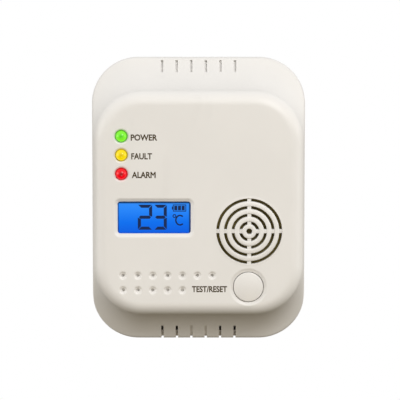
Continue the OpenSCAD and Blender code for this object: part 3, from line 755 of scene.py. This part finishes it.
def buildMarks():
    surface = Surface()
    low, high = segments["low"], segments["high"]
    outlines = digitSegments(-25.5, -19.45, ["top", "upperRight", "middle", "lowerLeft", "bottom"])
    outlines += digitSegments(-18.65, -13.3, ["top", "upperRight", "middle", "lowerRight", "bottom"])
    left, right, base, top, w = -10.75, -5.15, -3.3, -0.33, 0.32  # battery sign
    outlines += [boxOutline(left, right, top - w, top), boxOutline(left, right, base, base + w),
                 boxOutline(left, left + w, base + w, top - w), boxOutline(right - w, right, base + w, top - w),
                 boxOutline(left - 0.42, left, base + 0.85, top - 0.85)]
    outlines += [boxOutline(x, x + 1.24, base + 0.54, top - 0.54) for x in (-10.15, -8.6, -7.05)]
    turn = np.radians(np.linspace(48, 312, 40))  # the letter C
    arc = np.stack([-7.75 + 1.6 * np.cos(turn) * 1.1, -6.95 + 2.0 * np.sin(turn)], 1)
    outlines.append(bandOutline(arc, 0.62))
    for outline in outlines:
        prism(surface, outline, low, high)
    carried(surface, (-10.1, -5.2), (0, 0), [(0.42, low), (0.8, low), (0.8, high), (0.42, high)], 8, close=True)
    return surface


makePiece("displayMarks", buildMarks(), "detector", inkFinish("crystalInk", inkLook))
print("display made")


printing = {  # the words beside the controls
    "colour": (0.055, 0.037, 0.015), "rough": 0.55,
    "depth": 0.02, "weight": 0.031,
    # word, left and right edge, base line, height of its capitals
    "words": [("POWER", -28.3, -17.2, 26.8, 2.65), ("FAULT", -28.1, -19.4, 18.95, 2.65), ("ALARM", -27.9, -17.9, 11.1, 2.65),
              ("TEST/RESET", -2.75, 12.05, -37.05, 2.5)],
}


def buildWords():
    # Each word is set flat, made a mesh, then stretched to its measured box and laid on the front
    places, faces, size = [], [], 0
    for word, left, right, base, height in printing["words"]:
        curve = bpy.data.curves.new("word", "FONT")
        curve.body = word
        curve.size = 1.0
        curve.bevel_depth = printing["weight"]
        curve.extrude = 0.005
        curve.resolution_u = 6
        setting = bpy.data.objects.new("word", curve)
        bpy.context.scene.collection.objects.link(setting)
        bpy.context.view_layer.update()
        flat = bpy.data.meshes.new_from_object(setting.evaluated_get(bpy.context.evaluated_depsgraph_get()))
        co = np.empty(len(flat.vertices) * 3)
        flat.vertices.foreach_get("co", co)
        co = co.reshape(-1, 3)
        tall = co[:, 1].max() - (0 if "/" in word else co[:, 1].min())
        span = co.max(0) - co.min(0)
        across = left + (co[:, 0] - co[:, 0].min()) / span[0] * (right - left)
        up = base + co[:, 1] / tall * height
        depth = housing["front"] - 0.01 + (co[:, 2] - co[:, 2].min()) / span[2] * (printing["depth"] + 0.01)
        places.append(toRow(across, up, depth))
        faces += [[i + size for i in face.vertices] for face in flat.polygons]
        size += len(co)
        bpy.data.objects.remove(setting)
        bpy.data.curves.remove(curve)
        bpy.data.meshes.remove(flat)
    surface = Surface()
    surface.places, surface.faces, surface.size = places, faces, size
    return surface


makePiece("panelWords", buildWords(), "detector", inkFinish("panelInk", printing))
print("words made")


def plainPlastic(name, colour, rough, grainScale=1500, bump=0.3, drift=0.08):
    # Moulded part: mottled colour, moulding grain and worn patches
    f = Finish(name)
    mottle, grain, worn = f.noise(160, 4, 0.6), f.noise(grainScale, 3), f.noise(420, 5, 0.65).step(0.6, 0.72)
    base = f.mix(mottle.step(0.3, 0.7), tone(colour, 1 - drift), tone(colour, 1 + drift))
    return f.shade(BaseColor=f.mix(worn * 0.3, base, tone(colour, 1.25)), Roughness=mottle * 0.14 + rough - worn * 0.1,
                   Normal=f.bump(grain, bump, 0.00005), SpecularIORLevel=0.4)


def metalFinish(name, colour, rough, stretch=(1, 1, 1), tarnish=(0.25, 0.2, 0.14)):
    # Plated or bare metal: fine drawing lines, tarnish in patches
    f = Finish(name)
    lines, stain = f.noise(1800, 4, 0.6, stretch), f.noise(260, 6, 0.65).step(0.52, 0.8)
    base = f.mix(lines, tone(colour, 0.85), tone(colour, 1.08))
    return f.shade(BaseColor=f.mix(stain * 0.4, base, tarnish), Metallic=1.0 - stain * 0.3,
                   Roughness=lines * 0.18 + rough + stain * 0.2,
                   Normal=f.bump(lines, 0.2, 0.00002))


def boardFinish():
    # Circuit board: green mask over copper tracks, with glass weave showing through
    f = Finish("greenBoard")
    x, y, z = f.axes()
    tracks = f.node("ShaderNodeTexBrick", {"offset": 0.5, "squash": 1.0}, {
        "Vector": f.node("ShaderNodeCombineXYZ", None, {0: x, 1: z,
                                                        2: 0.0}), "Scale": 160.0, "Mortar Size": 0.06, "Mortar Smooth": 0.3,
        "Brick Width": 0.9, "Row Height": 0.32}, output="Fac")
    weave = f.node("ShaderNodeTexWave", {"wave_type": "BANDS", "bands_direction": "DIAGONAL"},
                   {"Vector": f.place(), "Scale": 700.0})
    patch = f.noise(60, 3)
    base = f.mix(patch.step(0.4, 0.6), (0.006, 0.080, 0.035), (0.010, 0.115, 0.050))
    base = f.mix(tracks * 0.6, base, (0.030, 0.200, 0.075))
    return f.shade(BaseColor=base, Roughness=patch * 0.12 + 0.26 + weave * 0.05,
                   Normal=f.bump(tracks + weave * 0.1, 0.4, 0.00004), SpecularIORLevel=0.5)


def meshFinish():
    # Woven dust mesh: crossed threads with dark gaps
    f = Finish("dustMesh")
    x, y, z = f.axes()
    threads = (x * 14000).sine() * (z * 14000).sine()
    weave = threads * 0.5 + 0.5
    lint = f.noise(500, 5, 0.7).step(0.62, 0.8)
    base = f.mix(weave, (0.060, 0.048, 0.014), (0.170, 0.136, 0.045))
    return f.shade(BaseColor=f.mix(lint * 0.3, base, (0.22, 0.18, 0.09)), Roughness=weave * 0.2 + 0.75,
                   Normal=f.bump(weave, 0.5, 0.00006),
                   SpecularIORLevel=0.2)


def sleeveFinish():
    # Cell sleeve: dark wrap with a metallic band at one end, nothing printed
    f = Finish("cellSleeve")
    x, y, z = f.axes()
    band = abs(x * 1000).step(13.5, 14.0)
    ripple = f.noise(240, 4, 0.6, (0.2, 1, 1))
    base = f.mix(ripple, (0.012, 0.018, 0.035), (0.022, 0.030, 0.055))
    base = f.mix(band, base, (0.62, 0.42, 0.16))
    return f.shade(BaseColor=base, Metallic=band * 0.7, Roughness=ripple * 0.15 + 0.26,
                   Normal=f.bump(ripple, 0.2, 0.00004), CoatWeight=0.3)


def windingFinish():
    # Enamelled wire laid turn beside turn, with painted shade in the grooves between turns
    f = Finish("copperWinding")
    x, y, z = f.axes()
    turns = y * 1000 * 2 * math.pi / 0.5
    ridge = turns.sine() * 0.5 + 0.5
    patch = f.noise(700, 4)
    # painted shade: the colour darkens from the crest of each turn into the groove between turns
    return f.shade(BaseColor=f.mix(ridge, (0.14, 0.045, 0.015), (0.50, 0.19, 0.06)), Metallic=ridge * 0.5 + 0.3,
                   Roughness=patch * 0.2 + 0.25, Normal=f.bump(ridge, 0.8, 0.0001))


def labelFinish():
    # Printed film with nothing written on it: pale ground, ruled frame and blank fields
    f = Finish("plainLabel")
    x, y, z = f.axes()
    across, up = abs(x * 1000), abs(z * 1000 + 58.0)
    sideRules = across.step(21.9, 22.0) * (1 - across.step(22.2, 22.3)) * (1 - up.step(11.2, 11.3))
    endRules = up.step(10.9, 11.0) * (1 - up.step(11.2, 11.3)) * (1 - across.step(22.2, 22.3))
    ruled = (1 - up.step(0.1, 0.2)) * (1 - across.step(21.9, 22.0))
    ink = sideRules.larger(endRules).larger(ruled)
    paper = f.noise(900, 4)
    base = f.mix(paper, (0.60, 0.60, 0.58), (0.66, 0.66, 0.64))
    return f.shade(BaseColor=f.mix(ink, base, (0.16, 0.16, 0.17)), Roughness=paper * 0.12 + 0.32,
                   Normal=f.bump(paper, 0.1, 0.00002))


def stripedFinish():
    # Conducting rubber strip: thin dark and pale layers side by side
    f = Finish("stripedRubber")
    x, y, z = f.axes()
    wave = (x * 42000).sine() * 0.5 + 0.5
    grain = f.noise(1200, 3)
    return f.shade(BaseColor=f.mix(wave.step(0.3, 0.7), (0.03, 0.03, 0.035), (0.25, 0.26, 0.30)),
                   Roughness=grain * 0.15 + 0.6,
                   Normal=f.bump(wave, 0.2, 0.00003))


def guideFinish():
    # Acrylic sheet behind the display: pale, edge lit, dotted back
    f = Finish("lightGuide")
    dots, haze = f.cells(1100).step(0.25, 0.4), f.noise(120, 3)
    return f.shade(BaseColor=f.mix(dots, (0.45, 0.62, 0.86), (0.70, 0.82, 0.95)), Roughness=haze * 0.1 + 0.12,
                   Normal=f.bump(dots, 0.2, 0.00003),
                   EmissionColor=f.mix(haze, (0.05, 0.16, 0.55), (0.08, 0.22, 0.65)), EmissionStrength=0.5)


bareFinishes = {
    "case_plastic": caseFinish,
    "label_film": labelFinish(),
    "black_plastic": plainPlastic("blackPlastic", (0.018, 0.018, 0.018), 0.42),
    "switch_plastic": plainPlastic("brownPlastic", (0.095, 0.038, 0.020), 0.38),
    "tinned": metalFinish("tinnedLead", (0.62, 0.62, 0.62), 0.28),
    "nylon": plainPlastic("naturalNylon", (0.74, 0.73, 0.66), 0.40),
    "light_guide": guideFinish(),
    "white_plastic": plainPlastic("whitePlastic", (0.78, 0.78, 0.76), 0.35),
    "elastomer": stripedFinish(),
    "board_laminate": boardFinish(),
    "brass": metalFinish("brassSheet", (0.72, 0.50, 0.18), 0.24, (1, 1, 4), (0.24, 0.13, 0.05)),
    "ceramic": plainPlastic("silveredCeramic", (0.66, 0.65, 0.60), 0.34, 900, 0.5),
    "foam": plainPlastic("blackFoam", (0.014, 0.014, 0.014), 0.85, 700, 1.0),
    "mesh_fabric": meshFinish(),
    "steel_can": metalFinish("pressedSteel", (0.60, 0.60, 0.61), 0.26, (1, 1, 1)),
    "chip_epoxy": plainPlastic("chipEpoxy", (0.016, 0.016, 0.018), 0.55, 1800, 0.6),
    "ferrite": plainPlastic("darkFerrite", (0.035, 0.035, 0.037), 0.62, 900, 0.8),
    "copper_wire": windingFinish(),
    "can_sleeve": plainPlastic("canSleeve", (0.014, 0.022, 0.075), 0.26),
    "nickel": metalFinish("nickelPlate", (0.66, 0.64, 0.60), 0.20),
    "cell_sleeve": sleeveFinish(),
    "red_cable": plainPlastic("redCable", (0.52, 0.018, 0.015), 0.36),
    "black_cable": plainPlastic("blackCable", (0.015, 0.015, 0.015), 0.36),
    "zinc_steel": metalFinish("zincScrew", (0.58, 0.59, 0.60), 0.30, (1, 1, 1), (0.30, 0.26, 0.20)),
}
for part in frame["record"]["subparts"]:
    node = frame["nodes"][part["node"]]
    if node.hide_render:
        continue
    for holder in node.material_slots:
        holder.material = bareFinishes[part["material_slot"]]
print("carried-over parts finished")


studio = {  # stage, light and camera, metres
    "floorBelow": -0.16, "floorColour": (0.82, 0.81, 0.79),
    # brightness of the surroundings by height, from straight down to straight up
    "sky": [(0.0, (0.008, 0.005, 0.001)), (0.20, (0.060, 0.043, 0.010)), (0.42, (0.56, 0.515, 0.43)),
            (0.52, (0.75, 0.74, 0.72)),
            (0.70, (0.82, 0.81, 0.79)), (1.0, (0.70, 0.69, 0.68))],
    "lamps": [  # place, target, size, power, colour
        ((0.34, -0.80, 0.54), (0, 0, -0.03), 0.45, 4.3, (1.0, 0.99, 0.975)),
        ((0.10, -0.85, -0.55), (0, 0, -0.03), 0.4, 1.25, (1.0, 0.84, 0.60)),
        ((-0.95, -0.30, 0.10), (0, 0, -0.03), 0.6, 2.6, (1.0, 0.98, 0.95)),
        ((0.95, -0.20, 0.10), (0, 0, -0.03), 0.5, 1.6, (1.0, 0.985, 0.96)),
    ],
    "target": (0.00065, -0.023, -0.0286), "distance": 0.85, "elevation": 5.3, "lens": 179.4,
}


def buildStage():
    # Plain pale floor, white to the camera
    side = np.linspace(-4, 4, 9)
    corners = np.stack([*np.meshgrid(side, side, indexing="ij"), np.full((9, 9), studio["floorBelow"])], -1)
    number = np.arange(81).reshape(9, 9)
    quads = np.stack([number[:-1, :-1], number[1:, :-1], number[1:, 1:], number[:-1, 1:]], -1)
    mesh = bpy.data.meshes.new("floor")
    mesh.from_pydata(corners.reshape(-1, 3).tolist(), [], quads.reshape(-1, 4).tolist())
    f = Finish("paleFloor")
    haze = f.noise(3, 3)
    diffuse = f.node("ShaderNodeBsdfDiffuse", None, {"Color": f.mix(haze, tone(studio["floorColour"], 0.97),
                                                                    studio["floorColour"])})
    white = f.node("ShaderNodeEmission", None, {"Color": (1.0, 1.0, 1.0, 1.0), "Strength": 1.0})
    seen = f.node("ShaderNodeLightPath", output="Is Camera Ray")
    f.node("ShaderNodeOutputMaterial", None, {"Surface": f.node("ShaderNodeMixShader", None,
                                                                {0: seen, 1: diffuse, 2: white})})
    mesh.materials.append(f.material)
    floor = bpy.data.objects.new("floor", mesh)
    bpy.context.scene.collection.objects.link(floor)
    floor.visible_diffuse = floor.visible_glossy = floor.visible_shadow = False  # only the surroundings light the object


def buildWorld():
    # Soft light: brightest overhead, dim below, plain white where the camera sees it
    world = bpy.data.worlds.new("studio")
    bpy.context.scene.world = world
    world.use_nodes = True
    f = Finish("studio", world.node_tree)
    direction = f.node("ShaderNodeTexCoord", output="Generated")
    height = Wire(f, f.node("ShaderNodeSeparateXYZ", None, {0: direction}).socket.node.outputs[2])
    level = f.node("ShaderNodeValToRGB", {"stops": studio["sky"]}, {0: height * 0.5 + 0.5})
    soft = f.node("ShaderNodeBackground", None, {"Color": level, "Strength": 1.0})
    white = f.node("ShaderNodeBackground", None, {"Color": (1, 1, 1), "Strength": 1.0})
    seen = f.node("ShaderNodeLightPath", output="Is Camera Ray")
    f.node("ShaderNodeOutputWorld", None, {"Surface": f.node("ShaderNodeMixShader", None, {0: seen, 1: soft, 2: white})})


def aim(holder, place, target):
    holder.location = place
    holder.rotation_euler = (Vector(target) - Vector(place)).to_track_quat("-Z", "Y").to_euler()
    bpy.context.scene.collection.objects.link(holder)


def buildLights():
    for k, (place, target, size, power, colour) in enumerate(studio["lamps"]):
        light = bpy.data.lights.new(f"softBox{k}", "AREA")
        light.shape, light.size, light.energy, light.color = "DISK", size, power, colour
        aim(bpy.data.objects.new(f"softBox{k}", light), place, target)


def buildCamera():
    camera = bpy.data.cameras.new("view")
    camera.lens, camera.sensor_width = studio["lens"], 36.0
    camera.clip_start, camera.clip_end = 0.05, 20
    tilt, target = math.radians(studio["elevation"]), Vector(studio["target"])
    back = Vector((0, -math.cos(tilt), math.sin(tilt)))
    holder = bpy.data.objects.new("view", camera)
    aim(holder, target + back * studio["distance"], target)
    bpy.context.scene.camera = holder


buildStage()
buildWorld()
buildLights()
buildCamera()
bpy.context.scene.view_settings.view_transform = "Standard"
print("stage, light and camera placed")
